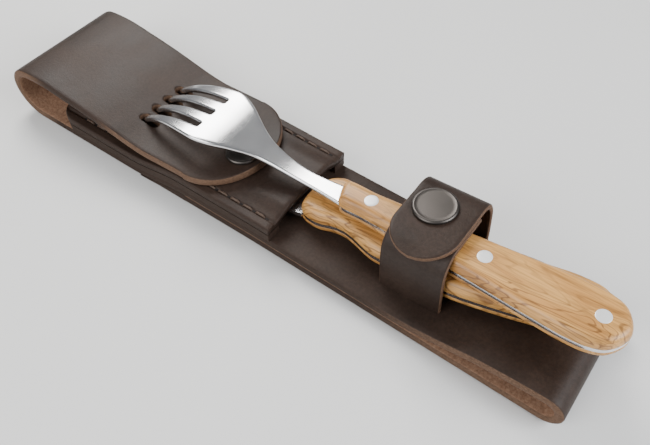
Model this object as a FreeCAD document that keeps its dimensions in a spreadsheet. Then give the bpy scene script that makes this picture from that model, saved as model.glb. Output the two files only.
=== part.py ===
import FreeCAD, Part
import math
import os
import Sketcher
from FreeCAD import Placement, Rotation, Vector

# Picnic cutlery: a table knife and a fork with wooden handles, carried in a leather belt sheath.
# Millimetres.  +X runs along the sheath towards the belt loop, +Y across it, +Z up from the table.

SIZES = {
    # leather
    "leather": 3.3,
    "ply_gap": 0.06,
    "fold_gap": 0.15,
    "half_width": 22.7,
    "half_width_tip": 24.6,
    "strap_left": -97.0,
    "belt_end": 118.7,
    "belt_radius": 5.0,
    "return_end": -32.0,
    "flap_left": -123.0,
    "flap_radius": 9.85,
    "hinge_x": -49.0,
    "hinge_mid": 13.95,
    "tongue_tip": -10.0,
    "tongue_length": 20.0,
    "pocket_left": -99.0,
    "pocket_mouth": 8.5,
    "cavity_half": 16.8,
    "seam_inset": 3.9,
    "stitch_pitch": 5.7,
    "thread": 0.9,
    "groove_width": 1.5,
    "groove_depth": 0.7,
    # keeper strap over the handles
    "keeper_x": 59.0,
    "keeper_width": 23.0,
    "keeper_ply": 2.0,
    "inner_ply_mid": 30.8,
    "tab_ply_mid": 33.2,
    "tab_hinge_y": 12.0,
    # press studs
    "cap_dia": 15.0,
    "cap_height": 1.3,
    "keeper_snap_x": 57.0,
    "keeper_snap_y": 3.9,
    "flap_snap_x": -18.5,
    "flap_snap_y": -3.0,
    "flap_cap_dia": 12.5,
    # cutlery
    "slope": 4.0,
    "tang": 2.4,
    "blade": 1.8,
    "rivet_dia": 5.1,
    "knife_yaw": 5.0,
    "knife_x": 17.0,
    "knife_y": -0.3,
    "knife_z": 11.75,
    "knife_upper": 4.2,
    "knife_lower": 2.6,
    "fork_x": 57.0,
    "fork_y": -1.1,
    "fork_z": 24.2,
    "fork_upper": 3.8,
    "fork_lower": 2.4,
    "fork_steel": 2.0,
    "tine_pitch": 6.35,
    "tine_slot_width": 4.9,
    "tine_slot_length": 10.0,
    "tine_slot_x": -58.8,
}

doc = FreeCAD.newDocument("picnic_cutlery")
sheet = doc.addObject("Spreadsheet::Sheet", "sizes")
for row, (alias, value) in enumerate(SIZES.items(), start=1):
    sheet.set("A%d" % row, alias)
    sheet.set("B%d" % row, str(value))
    sheet.setAlias("B%d" % row, alias)
doc.recompute()

nodes = []


def size(alias):
    return float(sheet.get(alias))


LEATHER = size("leather")
HALF_PLY = LEATHER / 2
STEP = LEATHER + size("ply_gap")
TOP_PLY_MID = LEATHER + size("fold_gap") + HALF_PLY
# The plies that lie on the table are drawn this much lower and pared flat at the table.
PARE = 0.08
REST_MID = HALF_PLY - PARE

# ---------------------------------------------------------------- helpers


def keep(obj):
    """Mark a document object as a piece that is exported under its Label."""
    nodes.append(obj)
    return obj


def feature(name, shape, placement=None):
    """A piece whose shape is worked out here."""
    obj = doc.addObject("Part::Feature", name)
    obj.Label = name
    obj.Shape = shape
    if placement is not None:
        obj.Placement = placement
    return keep(obj)


def spline(points, closed=False):
    curve = Part.BSplineCurve()
    curve.interpolate(points, PeriodicFlag=closed)
    return curve


def ply_profile(points, thickness, samples):
    """Face of a bent sheet seen edge on: the middle line thickened by half each way."""
    middle = spline(points)
    outer = []
    inner = []
    for i in range(samples + 1):
        at = middle.FirstParameter + (middle.LastParameter - middle.FirstParameter) * i / samples
        along = middle.tangent(at)[0]
        side = along.cross(sheet_axis(points)).normalize() * (thickness / 2)
        outer.append(middle.value(at) + side)
        inner.append(middle.value(at) - side)
    ends = [Part.makeLine(outer[-1], inner[-1]), Part.makeLine(inner[0], outer[0])]
    edges = spans(spline(outer), samples // 5) + spans(spline(inner), samples // 5) + ends
    return Part.Face(Part.Wire(Part.sortEdges(edges)[0]))


def spans(curve, count):
    """A long curve as several edges end to end, so that each extruded face stays short."""
    low = curve.FirstParameter
    stride = (curve.LastParameter - low) / count
    return [curve.toShape(low + stride * i, low + stride * (i + 1)) for i in range(count)]


def sheet_axis(points):
    """The direction in which a bent sheet runs straight: Y if its profile lies in XZ, else X."""
    if all(abs(p.y - points[0].y) < 1e-9 for p in points):
        return Vector(0, 1, 0)
    return Vector(1, 0, 0)


def bent_sheet(points, thickness, low, high, samples=40):
    """Solid sheet with the given middle line, between two stations on its straight axis."""
    face = ply_profile(points, thickness, samples)
    axis = sheet_axis(points)
    face.translate(axis * (low - points[0].dot(axis)))
    return face.extrude(axis * (high - low))


def xz(pairs):
    return [Vector(x, 0, z) for x, z in pairs]


def yz(pairs):
    return [Vector(0, y, z) for y, z in pairs]


def prism(edges, bottom, top):
    face = Part.Face(Part.Wire(edges))
    face.translate(Vector(0, 0, bottom))
    return face.extrude(Vector(0, 0, top - bottom))


def polygon_edges(points):
    vectors = [Vector(x, y, 0) for x, y in points]
    return [Part.makeLine(a, b) for a, b in zip(vectors, vectors[1:] + vectors[:1])]


def half_width(x):
    """The sheath is parallel at the belt end and widens a little towards the flap fold."""
    share = min(1.0, max(0.0, x / size("flap_left")))
    return size("half_width") + (size("half_width_tip") - size("half_width")) * share


def smooth_step(share):
    share = min(1.0, max(0.0, share))
    return share * share * (3 - 2 * share)


def vertical_edges(shape):
    found = []
    for edge in shape.Edges:
        direction = edge.Vertexes[-1].Point - edge.Vertexes[0].Point
        if abs(direction.x) < 1e-6 and abs(direction.y) < 1e-6:
            found.append(edge)
    return found


def strip_outline(left, right, bottom, top):
    """Block with the sheath's plan outline between two stations."""
    points = [
        (left, -half_width(left)),
        (0.0, -half_width(0.0)),
        (right, -half_width(right)),
        (right, half_width(right)),
        (0.0, half_width(0.0)),
        (left, half_width(left)),
    ]
    if left >= 0.0 or right <= 0.0:
        points = [points[0], points[2], points[3], points[5]]
    return prism(polygon_edges(points), bottom, top)


def slot_cut(x, y, length, width, bottom, top):
    """Upright cutter with round ends, lying along X."""
    radius = width / 2
    reach = length / 2 - radius
    ends = [
        Part.Arc(
            Vector(x + reach, y - radius, 0),
            Vector(x + reach + radius, y, 0),
            Vector(x + reach, y + radius, 0)
        ).toShape(),
        Part.makeLine(Vector(x + reach, y + radius, 0), Vector(x - reach, y + radius, 0)),
        Part.Arc(
            Vector(x - reach, y + radius, 0),
            Vector(x - reach - radius, y, 0),
            Vector(x - reach, y - radius, 0)
        ).toShape(),
        Part.makeLine(Vector(x - reach, y - radius, 0), Vector(x + reach, y - radius, 0)),
    ]
    return prism(ends, bottom, top)


def turned_body(name, profile, placement):
    """PartDesign body turned about Z from (radius, height) corners."""
    body = doc.addObject("PartDesign::Body", name)
    body.Label = name
    plane = [f for f in body.Origin.OriginFeatures if f.Role == "XZ_Plane"][0]
    sketch = body.newObject("Sketcher::SketchObject", name + "_profile")
    sketch.AttachmentSupport = [(plane, "")]
    sketch.MapMode = "FlatFace"
    corners = [Vector(r, z, 0) for r, z in profile]
    count = len(corners)
    for a, b in zip(corners, corners[1:] + corners[:1]):
        sketch.addGeometry(Part.LineSegment(a, b), False)
    for i in range(count):
        sketch.addConstraint(Sketcher.Constraint("Coincident", i, 2, (i + 1) % count, 1))
    turn = body.newObject("PartDesign::Revolution", name + "_turn")
    turn.Profile = sketch
    turn.ReferenceAxis = (sketch, ["V_Axis"])
    turn.Angle = 360
    body.Placement = placement
    return keep(body)


# ---------------------------------------------------------------- sheath

# Middle lines of the long strap, in XZ.  The strap lies on its own folded end near the belt loop,
# steps down to the table past that end, turns up and over at the flap fold and comes back as the flap.
REST_X = size("strap_left")
LOOP_X = size("belt_end") - HALF_PLY - size("belt_radius")
LOOP_Z = REST_MID + size("belt_radius")


def belt_fold():
    """Half turn at the belt end, from the underside to the top."""
    radius = size("belt_radius")
    return [
        (LOOP_X + radius * math.sin(math.radians(a)), LOOP_Z - radius * math.cos(math.radians(a)))
        for a in range(0, 181, 15)
    ]


def back_strap_line():
    under = [(size("return_end") + 17.0 * i, REST_MID) for i in range(8)]
    under += [(LOOP_X - back, REST_MID) for back in (16.0, 9.0, 5.0, 2.5)]
    rise = [(90.0, 10.0), (75.0, 7.1), (62.0, 5.4)]
    flat = [(50.0 - 16.0 * i, TOP_PLY_MID) for i in range(5)]
    down = [(-24.0 - 4.0 * i, lay_height(-24.0 - 4.0 * i) - HALF_PLY - PARE) for i in range(12)]
    rest = [(-76.0 - 7.0 * i, REST_MID) for i in range(3)]
    return under + belt_fold() + rise + flat + down + rest + [(REST_X, REST_MID)]


def skived_end():
    """Tapered end of the return ply, filling the wedge where the upper ply comes down to the table."""
    start = size("return_end") + 0.5
    stations = [start - 3.0 * i for i in range(9)]
    upper = [(x, lay_height(x) - LEATHER - PARE - 0.05) for x in stations]
    corners = [(start, 0.0)] + upper + [(stations[-1], 0.0)]
    points = [Vector(x, -30.0, z) for x, z in corners]
    face = Part.Face(Part.makePolygon(points + points[:1]))
    wedge = face.extrude(Vector(0, 60.0, 0))
    return wedge.common(strip_outline(REST_X, 0.0, -1.0, 30.0))


def pared(solid):
    """Planes away what reaches below the table, leaving a flat face to rest on."""
    below = Part.makeBox(300.0, 80.0, 5.0)
    below.translate(Vector(-150.0, -40.0, -5.0))
    return solid.cut(below)


def lay_height(x):
    """Top of the back strap at a station left of the belt loop."""
    upper = LEATHER + TOP_PLY_MID - HALF_PLY
    return LEATHER + (upper - LEATHER) * smooth_step((x + 59.0) / 26.0)


def make_back_strap():
    solid = bent_sheet(xz(back_strap_line()), LEATHER, -30.0, 30.0, 90)
    solid = solid.common(strip_outline(REST_X, size("belt_end") + 1.0, -1.0, 30.0))
    width = size("keeper_width") + 2.8
    for low, high in ((-13.9, -11.3), (17.1, 19.9)):
        slit = Part.makeBox(width, high - low, 20.0)
        slit.translate(Vector(size("keeper_x") - width / 2, low, LEATHER + 0.05))
        solid = solid.cut(slit)
    feature("back_strap", pared(solid).fuse(skived_end()).removeSplitter())


def flap_loop_line():
    radius = size("flap_radius")
    centre_x = size("flap_left") + HALF_PLY + radius
    centre_z = REST_MID + radius
    turn = [
        (centre_x - radius * math.sin(math.radians(a)), centre_z - radius * math.cos(math.radians(a)))
        for a in range(0, 166, 15)
    ]
    start = [(REST_X - 0.2 - 2.4 * i, REST_MID) for i in range(6)]
    panel = [(-103.0, 21.9), (-91.0, 20.7), (-77.0, 18.9), (-66.0, 16.8), (-58.0, 15.0), (-53.0, 14.2)]
    return start + turn + panel + [(size("hinge_x") - 0.1, size("hinge_mid"))]


TONGUE_LINE = [(-41.0, 14.95), (-34.0, 15.6), (-26.0, 15.75), (-17.0, 16.1), (-10.0, 16.55), (-4.0, 16.9)]


def make_flap():
    solid = bent_sheet(xz(flap_loop_line()), LEATHER, -30.0, 30.0, 70)
    solid = solid.common(strip_outline(size("flap_left") - 1.0, size("hinge_x"), -1.0, 40.0))
    for i in range(4):
        y = size("fork_y") + (i - 1.5) * size("tine_pitch")
        length = size("tine_slot_length")
        solid = solid.cut(slot_cut(size("tine_slot_x"), y, length, size("tine_slot_width"), 8.0, 24.0))
    feature("flap_strap", pared(solid))


def tongue_outline():
    tip = size("tongue_tip")
    root = size("hinge_x")
    half = half_width(root)
    start = tip - size("tongue_length")
    ends = [
        (start + size("tongue_length") * math.sin(math.radians(a)), -half * math.cos(math.radians(a)))
        for a in range(0, 181, 15)
    ]
    curve = spline([Vector(x, y, 0) for x, y in ends]).toShape()
    corners = [Vector(start, half, 0), Vector(root, half, 0), Vector(root, -half, 0), Vector(start, -half, 0)]
    return [curve] + [Part.makeLine(a, b) for a, b in zip(corners, corners[1:])]


def snap_hole(x, y, radius, bottom, top):
    hole = upright_pin(radius, bottom, top)
    hole.translate(Vector(x, y, 0))
    return hole


def upright_pin(radius, bottom, top):
    return Part.makeCylinder(radius, top - bottom, Vector(0, 0, bottom))


def tongue_height(x):
    """Middle height of the tongue at a station."""
    points = [(size("hinge_x"), size("hinge_mid"))] + TONGUE_LINE
    for (x0, z0), (x1, z1) in zip(points, points[1:]):
        if x0 <= x <= x1:
            return z0 + (z1 - z0) * (x - x0) / (x1 - x0)
    return points[-1][1]


def flap_snap_spot():
    """Frame of the flap's press stud: on the middle of the tongue, square to it."""
    x = size("flap_snap_x")
    slope = -math.degrees(math.atan2(tongue_height(x + 6) - tongue_height(x - 6), 12.0))
    return Placement(Vector(x, size("flap_snap_y"), tongue_height(x)), Rotation(Vector(0, 1, 0), slope))


def make_tongue():
    line = [(size("hinge_x") + 0.1, size("hinge_mid"))] + TONGUE_LINE
    solid = bent_sheet(xz(line), LEATHER, -30.0, 30.0, 24)
    solid = solid.common(prism(tongue_outline(), 5.0, 30.0))
    for cutter in (upright_pin(1.6, -3.0, 3.0), upright_pin(4.4, -3.0, -0.1)):
        cutter.Placement = flap_snap_spot()
        solid = solid.cut(cutter)
    feature("flap_tongue", solid)


def front_rest(x):
    """Underside of the pocket front where nothing lifts it."""
    return lay_height(x) + STEP + size("ply_gap")


def blade_lift(x):
    """How far the knife blade holds the pocket front up at a station."""
    rise = (x - size("knife_x")) * math.tan(math.radians(size("slope")))
    blade_top = size("knife_z") + rise + size("blade") / 2
    return max(0.0, blade_top + 0.35 - front_rest(x))


def bulge(x, y):
    """Lift of the pocket front over the blade, fading out before the seams."""
    full = 10.5 + 4.0 * smooth_step((-20.0 - x) / 30.0)
    return blade_lift(x) * (1 - smooth_step((abs(y) - full) / (18.0 - full)))


def front_section(x):
    low = front_rest(x)
    stations = [-27.0, -21.0, -18.0, -15.5, -13.0, -10.5, -6.0, 0.0, 6.0, 10.5, 13.0, 15.5, 18.0, 21.0, 27.0]
    under = [Vector(x, y, low + bulge(x, y)) for y in stations]
    over = [p + Vector(0, 0, LEATHER) for p in under]
    edges = [
        spline(under).toShape(),
        Part.makeLine(under[-1], over[-1]),
        spline(over[::-1]).toShape(),
        Part.makeLine(over[0], under[0]),
    ]
    return Part.Wire(edges)


def pocket_outline(bottom, top):
    block = strip_outline(size("pocket_left"), size("pocket_mouth"), bottom, top)
    far_left = [e for e in vertical_edges(block) if e.Vertexes[0].X < size("pocket_left") + 1.0]
    return block.makeFillet(9.0, far_left)


def make_pocket_front():
    stations = [-101.0, -80.0, -72.0, -66.0, -62.0, -58.0, -54.0, -50.0, -46.0, -42.0, -38.0, -34.0]
    stations += [-28.0, -22.0, -17.0, -12.0, -6.0, 0.0, 9.0]
    solid = Part.makeLoft([front_section(x) for x in stations], True, True)
    solid = solid.common(pocket_outline(-1.0, 30.0))
    for side in (-1, 1):
        solid = solid.cut(seam_groove(side))
    for recess in (upright_pin(4.4, -2.65, 5.0), upright_pin(1.2, -3.1, 5.0)):
        recess.Placement = flap_snap_spot()
        solid = solid.cut(recess)
    feature("pocket_front", solid)


def seam_line(x, side):
    return side * (half_width(x) - size("seam_inset"))


def seam_groove(side):
    """Channel that the stitches lie in, following the top of the pocket front."""
    stations = [-96.0 + 5.0 * i for i in range(22)]
    line = [(x, front_rest(x) + LEATHER) for x in stations]
    channel = bent_sheet(xz(line), 2 * size("groove_depth"), -30.0, 30.0, 60)
    half = size("groove_width") / 2
    left = -94.0
    right = size("pocket_mouth") + 1.0
    corners = [(left, seam_line(left, side) - half), (right, seam_line(right, side) - half)]
    corners += [(right, seam_line(right, side) + half), (left, seam_line(left, side) + half)]
    return channel.common(prism(polygon_edges(corners), 0.0, 30.0))


def make_pocket_welt():
    """U-shaped spacer between back and front, open at the mouth."""
    stations = [-101.0 + 5.0 * i for i in range(23)]
    low = [(x, lay_height(x) + HALF_PLY + size("ply_gap")) for x in stations]
    solid = bent_sheet(xz(low), LEATHER, -30.0, 30.0, 50)
    solid = solid.common(pocket_outline(-1.0, 30.0))
    half = size("cavity_half")
    cavity = Part.makeBox(120.0, 2 * half, 30.0)
    cavity.translate(Vector(size("pocket_left") + 9.0, -half, 0.0))
    cavity = cavity.makeFillet(8.0, [e for e in vertical_edges(cavity) if e.Vertexes[0].X < 0])
    feature("pocket_welt", solid.cut(cavity))


def make_stitching(name, side):
    """Visible top runs of one seam, laid end to end with a gap at each hole."""
    pitch = size("stitch_pitch")
    count = int((size("pocket_mouth") - size("pocket_left") - 14.0) / pitch)
    runs = []
    for i in range(count):
        x = size("pocket_mouth") - 4.0 - pitch * i
        tail = x - pitch + 1.3
        sink = LEATHER - size("groove_depth") + size("thread") / 2 + 0.12
        start = Vector(x, seam_line(x, side), front_rest(x) + sink)
        finish = Vector(tail, seam_line(tail, side), front_rest(tail) + sink)
        run = Part.makeCylinder(size("thread") / 2, (finish - start).Length, start, finish - start)
        runs.append(run)
    feature(name, Part.makeCompound(runs))


# ---------------------------------------------------------------- keeper

# The keeper is square to the handles, so its pieces are drawn level and tipped by the same slope.
KEEPER_PIVOT = Vector(size("keeper_x"), 0, 18.0)
KEEPER_TILT = Placement(Vector(0, 0, 0), Rotation(Vector(0, 1, 0), -size("slope")), KEEPER_PIVOT)
NEAR_LINE = [
    (-12.6, 4.2), (-12.6, 9.0), (-12.6, 15.0), (-12.4, 21.0), (-11.2, 26.6), (-7.6, 30.2), (-2.0, 30.8)
]
FAR_LINE = [(18.5, 4.2), (18.5, 10.0), (18.5, 16.0), (18.4, 22.0), (17.6, 27.6), (15.4, 31.6)]


def keeper_span():
    half = size("keeper_width") / 2
    return size("keeper_x") - half, size("keeper_x") + half


def make_keeper_near():
    low, high = keeper_span()
    mid = size("inner_ply_mid")
    solid = bent_sheet(yz(NEAR_LINE + [(3.0, mid), (9.6, mid)]), size("keeper_ply"), low, high, 40)
    floor = mid - size("keeper_ply") / 2 + 0.4
    for radius, bottom in ((4.9, floor), (1.2, floor - 2.0)):
        solid = solid.cut(snap_hole(size("keeper_snap_x"), size("keeper_snap_y"), radius, bottom, 40.0))
    feature("keeper_near_strap", solid, KEEPER_TILT)


def make_keeper_far():
    low, high = keeper_span()
    line = FAR_LINE + [(size("tab_hinge_y") + 0.12, size("tab_ply_mid"))]
    solid = bent_sheet(yz(line), size("keeper_ply"), low, high, 40)
    clip = Part.makeBox(60.0, 20.0, 60.0)
    clip.translate(Vector(size("keeper_x") - 30.0, size("tab_hinge_y") - 20.0, 20.0))
    feature("keeper_far_strap", solid.cut(clip), KEEPER_TILT)


def make_keeper_tab():
    low, high = keeper_span()
    mid = size("tab_ply_mid")
    line = [(size("tab_hinge_y"), mid), (6.0, mid), (0.0, mid), (-6.0, mid)]
    line += [(-11.0, mid - 0.15), (-16.0, mid - 1.1)]
    solid = bent_sheet(yz(line), size("keeper_ply"), low - 2.0, high + 2.0, 30)
    half = size("keeper_width") / 2
    turns = [math.radians(a) for a in range(0, 181, 15)]
    rows = [(-half * math.cos(turn), -4.4 - half * math.sin(turn)) for turn in turns]
    curve = spline([Vector(size("keeper_x") + x, y, 0) for x, y in rows]).toShape()
    corners = [(half, -4.4), (half, 20.0), (-half, 20.0), (-half, -4.4)]
    points = [Vector(size("keeper_x") + x, y, 0) for x, y in corners]
    edges = [curve] + [Part.makeLine(a, b) for a, b in zip(points, points[1:])]
    solid = solid.common(prism(edges, 20.0, 40.0))
    solid = solid.cut(snap_hole(size("keeper_snap_x"), size("keeper_snap_y"), 1.6, 20.0, 40.0))
    feature("keeper_tab", solid, KEEPER_TILT)


# ---------------------------------------------------------------- press studs


def cap_profile(radius, height, under):
    """Domed cap with a rolled rim and a hollow post down through the leather."""
    return [
        (0.0, height),
        (radius * 0.6, height * 0.96),
        (radius * 0.86, height * 0.8),
        (radius, height * 0.35),
        (radius * 0.98, 0.02),
        (1.5, 0.02),
        (1.5, -under),
        (0.0, -under),
    ]


def socket_profile(height):
    """Ring that grips the stud."""
    rim = [(1.75, 0.0), (4.3, 0.0), (4.3, -height * 0.45), (3.7, -height)]
    return rim + [(2.2, -height), (2.2, -0.5), (1.75, -0.5)]


def stud_profile(flange, height, post):
    """Stud with a flat flange, a waisted knob above it and a short post below."""
    base = [(0.0, -post), (1.1, -post), (1.1, 0.0), (flange, 0.0), (flange, 0.3)]
    return base + [(1.7, 0.3), (1.45, height * 0.6), (1.8, height), (0.0, height)]


def lifted(placement, height):
    return placement.multiply(Placement(Vector(0, 0, height), Rotation()))


def make_keeper_snap():
    half = size("keeper_ply") / 2
    across = Placement(Vector(size("keeper_snap_x"), size("keeper_snap_y"), 0), Rotation())
    spot = KEEPER_TILT.multiply(across)
    cap = cap_profile(size("cap_dia") / 2, size("cap_height"), size("keeper_ply") + 0.3)
    turned_body("keeper_snap_cap", cap, lifted(spot, size("tab_ply_mid") + half))
    turned_body("keeper_snap_socket", socket_profile(1.3), lifted(spot, size("tab_ply_mid") - half - 0.02))
    lift = size("inner_ply_mid") - half + 0.42
    turned_body("keeper_snap_stud", stud_profile(4.8, 1.3, 0.35), lifted(spot, lift))


def make_flap_snap():
    """Cap and socket ride on the tongue; the stud is let into the pocket front below."""
    spot = flap_snap_spot()
    cap = cap_profile(size("flap_cap_dia") / 2, size("cap_height"), 2.25)
    turned_body("flap_snap_cap", cap, lifted(spot, HALF_PLY + 0.05))
    turned_body("flap_snap_socket", socket_profile(1.3), lifted(spot, -0.3))
    turned_body("flap_snap_stud", stud_profile(4.2, 1.5, 0.35), lifted(spot, -2.6))


# ---------------------------------------------------------------- cutlery


def closed_outline(near, far):
    """Closed plan outline from its near and far edge points, both running from front to butt."""
    return [Vector(u, v, 0) for u, v in near + far[::-1]]


def inset(points, distance):
    """Outline moved inwards by a distance, point by point."""
    moved = []
    count = len(points)
    for i, p in enumerate(points):
        along = (points[(i + 1) % count] - points[i - 1]).normalize()
        moved.append(p + Vector(-along.y, along.x, 0) * distance)
    return moved


def raised(points, height):
    return [Vector(p.x, p.y, height) for p in points]


def closed_wire(points):
    return Part.Wire([spline(points, True).toShape()])


def slab(points, bottom, top):
    face = Part.Face(closed_wire(raised(points, bottom)))
    return face.extrude(Vector(0, 0, top - bottom))


def handle_scale(points, inner, outer):
    """Wooden scale: flat on the tang, its outer edges rounded over in steps of the loft."""
    rise = outer - inner
    levels = [(0.0, 0.0), (0.4, 0.0), (0.68, 0.25), (0.88, 0.75), (1.0, 1.7)]
    wires = [closed_wire(raised(inset(points, back), inner + rise * part)) for part, back in levels]
    return Part.makeLoft(wires, True, False)


def rivet_set(name, spots, bottom, top, placement):
    """Three through pins in one node."""
    pins = []
    for i, (u, v) in enumerate(spots):
        pin = doc.addObject("Part::Cylinder", "%s_pin_%d" % (name, i + 1))
        pin.setExpression("Radius", "sizes.rivet_dia / 2")
        pin.Height = top - bottom
        pin.Placement = placement.multiply(Placement(Vector(u, v, bottom), Rotation()))
        pins.append(pin)
    group = doc.addObject("Part::Compound", name)
    group.Label = name
    group.Links = pins
    return keep(group)


def drill(shape, spots, bottom, top):
    for u, v in spots:
        pin = Part.makeCylinder(size("rivet_dia") / 2, top - bottom)
        pin.translate(Vector(u, v, bottom))
        shape = shape.cut(pin)
    return shape


KNIFE_SPOTS = [(14.0, 0.6), (51.0, -2.2), (86.0, -0.6)]
FORK_SPOTS = [(-21.0, 0.0), (20.0, 0.0), (57.0, -0.3)]


def knife_outline():
    near = [(-6.3, -2.0), (-5.4, -7.4), (-1.5, -9.2), (3.0, -9.5), (8.0, -8.4), (13.0, -8.6), (18.0, -10.2)]
    near += [(24.0, -12.4), (32.0, -13.3), (44.0, -14.0), (54.0, -14.2)]
    near += [(66.0, -13.0), (78.0, -11.2), (90.0, -8.4)]
    far = [(-5.0, 3.5), (-3.0, 8.0), (2.0, 10.8), (8.0, 10.0), (14.0, 7.8)]
    far += [(26.0, 6.9), (42.0, 7.0), (60.0, 7.8)]
    far += [(76.0, 8.9), (88.0, 9.6), (96.0, 8.2), (100.0, 3.5), (98.6, -3.2)]
    return closed_outline(near, far)


def blade_outline():
    """Blade with a straight back, a curved edge and a dropped point."""
    edge = [(-5.0, -8.6), (-9.0, -9.0), (-20.0, -9.4), (-45.0, -9.0)]
    edge += [(-70.0, -6.6), (-88.0, -1.8), (-99.0, 4.2)]
    back = [(-101.0, 6.4), (-90.0, 8.1), (-60.0, 8.6), (-20.0, 8.6), (-5.0, 8.6)]
    curve = spline([Vector(u, v, 0) for u, v in edge]).toShape()
    corners = [Vector(edge[-1][0], edge[-1][1], 0)] + [Vector(u, v, 0) for u, v in back]
    lines = [Part.makeLine(a, b) for a, b in zip(corners, corners[1:])]
    return [curve] + lines + [Part.makeLine(corners[-1], Vector(edge[0][0], edge[0][1], 0))]


def knife_placement():
    turn = Rotation(Vector(0, 0, 1), size("knife_yaw")).multiply(Rotation(Vector(0, 1, 0), -size("slope")))
    return Placement(Vector(size("knife_x"), size("knife_y"), size("knife_z")), turn)


def make_knife():
    place = knife_placement()
    half = size("tang") / 2
    points = knife_outline()
    blade = prism(blade_outline(), -size("blade") / 2, size("blade") / 2)
    steel = slab(points, -half, half).fuse(blade).removeSplitter()
    low = -half - size("knife_lower")
    high = half + size("knife_upper")
    feature("knife_blade", drill(steel, KNIFE_SPOTS, low, high), place)
    upper = handle_scale(points, half + 0.02, high)
    feature("knife_upper_scale", drill(upper, KNIFE_SPOTS, low, high), place)
    lower = handle_scale(points, -half - 0.02, low)
    feature("knife_lower_scale", drill(lower, KNIFE_SPOTS, low, high), place)
    rivet_set("knife_rivets", KNIFE_SPOTS, low + 0.05, high - 0.05, place)


def fork_placement():
    turn = Rotation(Vector(0, 1, 0), -size("slope"))
    return Placement(Vector(size("fork_x"), size("fork_y"), size("fork_z")), turn)


def fork_handle_outline():
    half = [(-31.0, 4.4), (-22.0, 4.8), (-12.0, 5.4), (0.0, 6.2)]
    half += [(15.0, 7.3), (30.0, 8.5), (42.0, 9.4), (50.0, 9.8)]
    half += [(57.0, 9.2), (62.0, 7.0)]
    near = [(-32.3, -2.2)] + [(u, -v) for u, v in half]
    far = [(-33.6, 2.2)] + [(u - 1.5 if u < -25 else u, v) for u, v in half] + [(65.6, 0.0)]
    return closed_outline(near, far)


def fork_head():
    """Head and neck: plan outline with its three slots, cut from the bent profile of the blank."""
    half = [(-119.6, 10.7), (-112.0, 11.5), (-102.0, 12.7), (-94.0, 13.7), (-87.0, 14.0), (-81.0, 12.2)]
    half += [(-75.0, 8.9), (-68.0, 5.5), (-61.0, 3.9), (-53.0, 3.2), (-45.0, 3.1), (-35.0, 3.7), (-28.0, 4.5)]
    near = spline([Vector(u, -v, 0) for u, v in half]).toShape()
    far = spline([Vector(u, v, 0) for u, v in half]).toShape()
    tip = Part.makeLine(far.Vertexes[0].Point, near.Vertexes[0].Point)
    root = Part.makeLine(near.Vertexes[-1].Point, far.Vertexes[-1].Point)
    plan = prism([near, root, far, tip], -10.0, 20.0)
    for side in (-1, 0, 1):
        plan = plan.cut(tine_gap(side * 7.3, side * size("tine_pitch")))
    line = [(-120.6, -3.0), (-118.6, -0.6), (-116.4, 1.6), (-112.0, 4.4)]
    line += [(-105.0, 7.2), (-97.0, 9.0), (-88.0, 9.6)]
    line += [(-80.0, 8.3), (-72.0, 5.8), (-64.0, 3.3), (-56.0, 1.3), (-48.0, 0.2), (-40.0, 0.0), (-33.0, 0.0)]
    blank = bent_sheet(xz(line + [(-28.0, 0.0)]), size("fork_steel"), -20.0, 20.0, 60)
    return blank.common(plan)


def tine_gap(root_v, tip_v):
    """Gap between two tines: round at its root and widening towards the tips."""
    root_u = -90.0
    tip_u = -124.0
    narrow = 1.15
    wide = 2.15
    edges = [
        Part.Arc(
            Vector(root_u, root_v - narrow, 0),
            Vector(root_u + narrow, root_v, 0),
            Vector(root_u, root_v + narrow, 0)
        ).toShape(),
        Part.makeLine(Vector(root_u, root_v + narrow, 0), Vector(tip_u, tip_v + wide, 0)),
        Part.makeLine(Vector(tip_u, tip_v + wide, 0), Vector(tip_u, tip_v - wide, 0)),
        Part.makeLine(Vector(tip_u, tip_v - wide, 0), Vector(root_u, root_v - narrow, 0)),
    ]
    return prism(edges, -12.0, 22.0)


def make_fork():
    place = fork_placement()
    half = size("tang") / 2
    points = fork_handle_outline()
    steel = slab(points, -half, half).fuse(fork_head()).removeSplitter()
    tips = Part.makeBox(20.0, 40.0, 20.0)
    tips.translate(Vector(-118.4 - 20.0, -20.0, -15.0))
    steel = steel.cut(tips)
    low = -half - size("fork_lower")
    high = half + size("fork_upper")
    feature("fork_steel", drill(steel, FORK_SPOTS, low, high), place)
    upper = handle_scale(points, half + 0.02, high)
    feature("fork_upper_scale", drill(upper, FORK_SPOTS, low, high), place)
    lower = handle_scale(points, -half - 0.02, low)
    feature("fork_lower_scale", drill(lower, FORK_SPOTS, low, high), place)
    rivet_set("fork_rivets", FORK_SPOTS, low + 0.05, high - 0.05, place)


# ---------------------------------------------------------------- build and write

make_back_strap()
make_flap()
make_tongue()
make_pocket_front()
make_pocket_welt()
make_stitching("near_stitching", -1)
make_stitching("far_stitching", 1)
make_keeper_near()
make_keeper_far()
make_keeper_tab()
make_keeper_snap()
make_flap_snap()
make_knife()
make_fork()

doc.recompute()

for item in doc.Objects:
    if "Invalid" in item.State or "Error" in item.State:
        raise RuntimeError("%s failed to compute" % item.Label)
os.makedirs("parts", exist_ok=True)
for item in nodes:
    if item.Shape.isNull() or not item.Shape.isValid():
        raise RuntimeError("%s has no valid shape" % item.Label)
for item in nodes:
    item.Shape.exportStep("parts/%s.step" % item.Label)
    box = item.Shape.optimalBoundingBox()
    print("%-20s solids %d  volume %9.1f" % (item.Label, len(item.Shape.Solids), item.Shape.Volume))
    print("    x %7.2f %7.2f  y %7.2f %7.2f" % (box.XMin, box.XMax, box.YMin, box.YMax))
    print("    z %7.2f %7.2f" % (box.ZMin, box.ZMax))
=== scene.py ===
"""Looks for the picnic cutlery: leather belt sheath, keeper strap, knife and fork with olive wood handles."""

import math

import bmesh
import bpy
from mathutils import Matrix, Vector


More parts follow.
